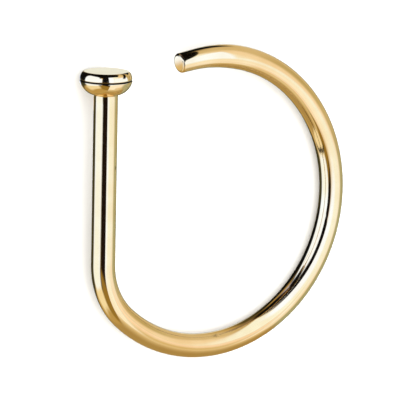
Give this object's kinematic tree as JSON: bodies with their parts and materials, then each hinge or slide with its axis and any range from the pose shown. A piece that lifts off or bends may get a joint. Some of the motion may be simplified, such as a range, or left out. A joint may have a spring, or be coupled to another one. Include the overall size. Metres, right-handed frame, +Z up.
{
  "type": "nose ring",
  "caption": "Open D-shaped nose hoop of round polished wire: a straight post with a flat disc head that stops it in the piercing, bent round to a blunt tip just short of the head.",
  "frame": {"origin": "on the surface that the ring rests on, under the middle of its bounding box", "axes": "+Z up, square to the ring within its resting tilt of 2.4 degrees; +Y along the post towards the head; +X from the post towards the round side of the hoop"},
  "size_m": [0.0102, 0.0106, 0.0017],
  "materials": {
    "gold": "mirror-polished gold-coloured plating"
  },
  "bodies": {
    "root": {"nose_ring": "gold"}
  },
  "joints": []
}
